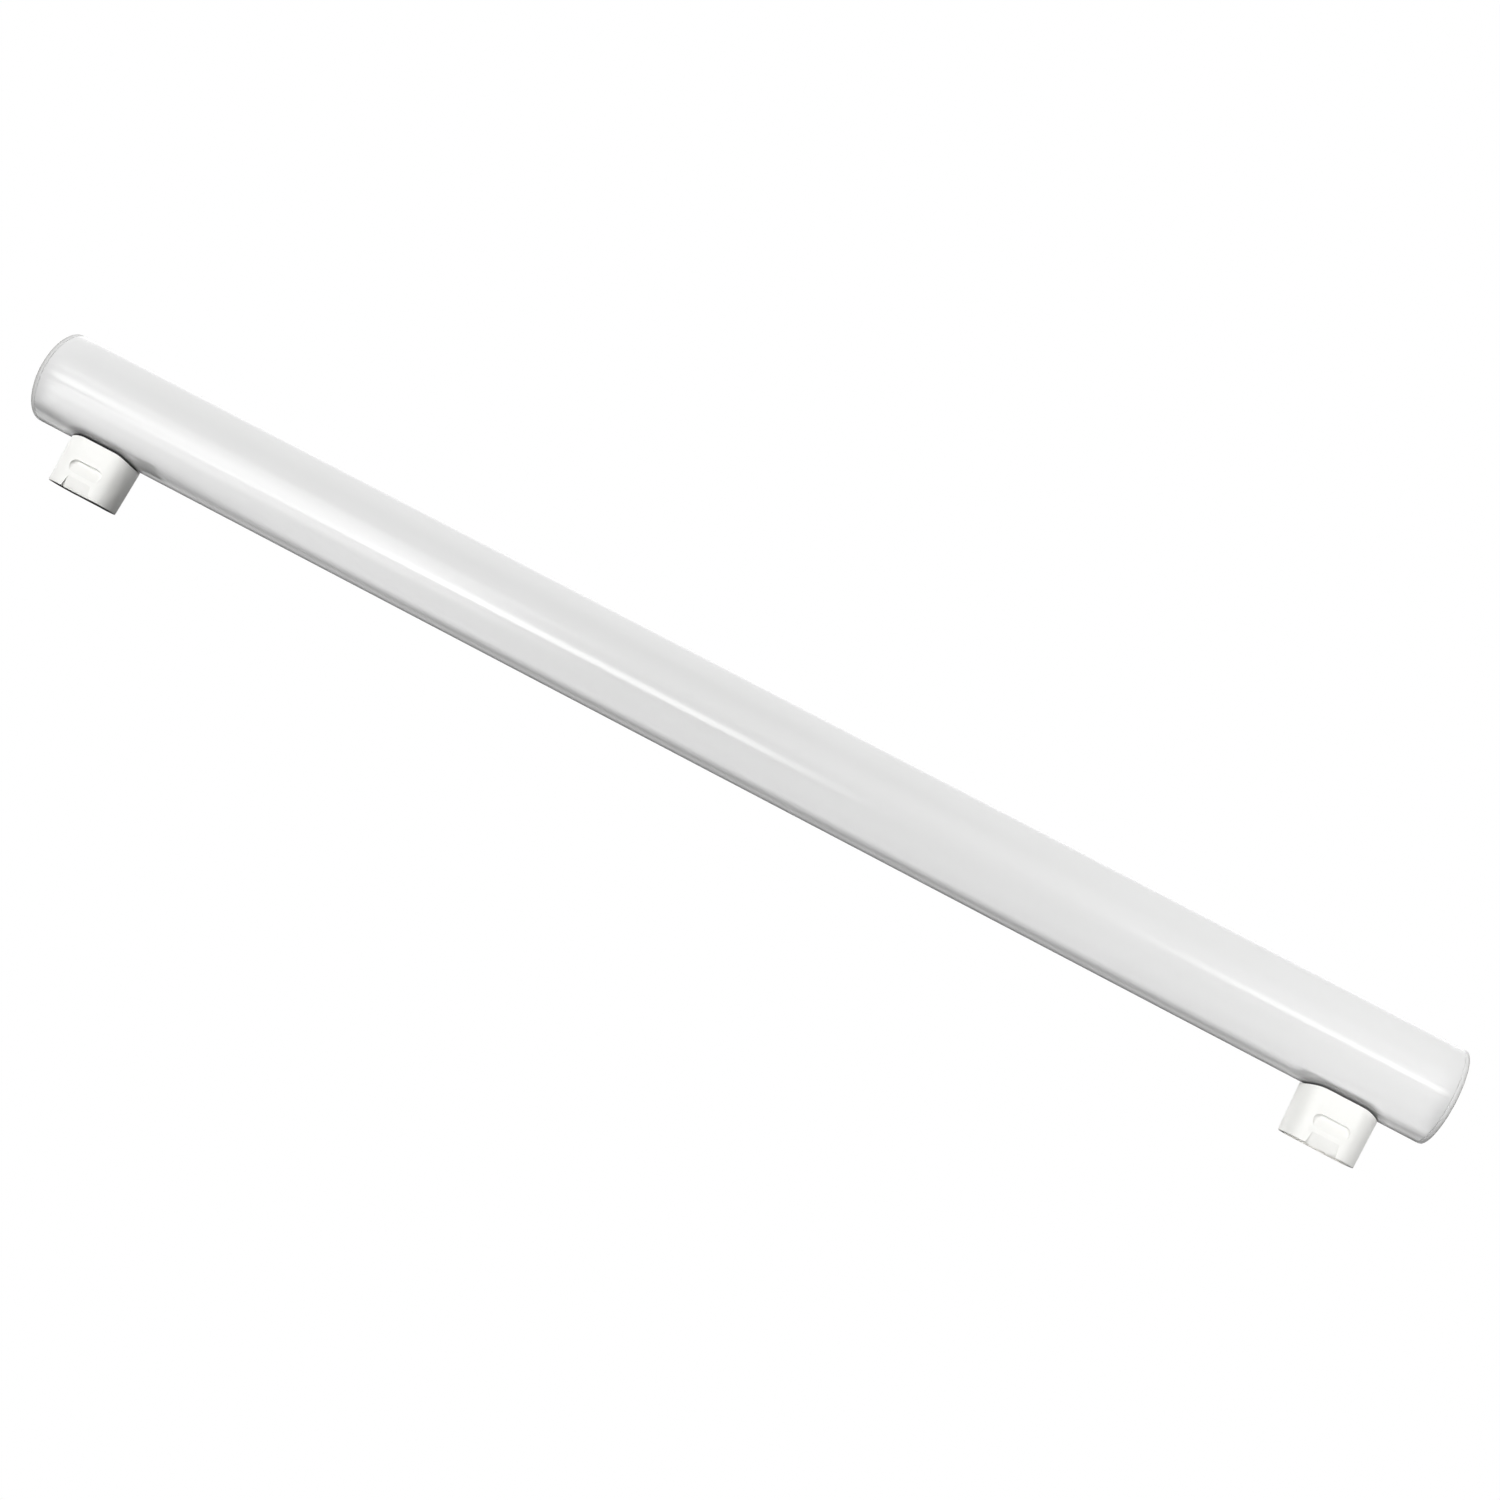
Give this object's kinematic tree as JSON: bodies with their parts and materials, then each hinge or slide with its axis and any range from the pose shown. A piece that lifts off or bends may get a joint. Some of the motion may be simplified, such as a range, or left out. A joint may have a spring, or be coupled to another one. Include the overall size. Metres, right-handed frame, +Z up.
{
  "type": "linear led lamp",
  "caption": "Straight opal LED tube lamp with rounded end caps and oblong side pegs that plug into peg lamp holders.",
  "frame": {"origin": "on the plane of the two peg ends, midway between the pegs, under the middle of the tube", "axes": "+X along the tube, +Z up from the peg ends to the tube, +Y across"},
  "size_m": [0.5, 0.0318, 0.0479],
  "materials": {
    "opal": "glossy opal white",
    "cap": "glossy white",
    "peg": "satin warm white",
    "contact": "nickel plated",
    "rail": "bare extrusion",
    "led_board": "white solder mask",
    "led": "yellow phosphor",
    "screw": "zinc plated",
    "driver_board": "green solder mask",
    "fuse": "grey-green enamel",
    "surge_disc": "blue epoxy",
    "film_capacitor": "yellow box",
    "black_moulding": "black epoxy",
    "can": "black sleeve",
    "choke": "dark ferrite and sleeve",
    "white_lead": "white insulation",
    "red_lead": "red insulation",
    "black_lead": "black insulation"
  },
  "bodies": {
    "root": {"tube": "opal", "left_end_cap": "cap", "right_end_cap": "cap", "left_peg": "peg", "right_peg": "peg", "left_contact": "contact", "right_contact": "contact", "rail": "rail", "led_board": "led_board", "leds": "led", "board_screws": "screw", "driver_board": "driver_board", "fuse_resistor": "fuse", "surge_disc": "surge_disc", "film_capacitor": "film_capacitor", "bridge_rectifier": "black_moulding", "input_capacitor": "can", "driver_chip": "black_moulding", "choke": "choke", "output_capacitor": "can", "chip_resistors": "black_moulding", "left_lead": "white_lead", "right_lead": "white_lead", "led_lead_plus": "red_lead", "led_lead_minus": "black_lead"}
  },
  "joints": []
}
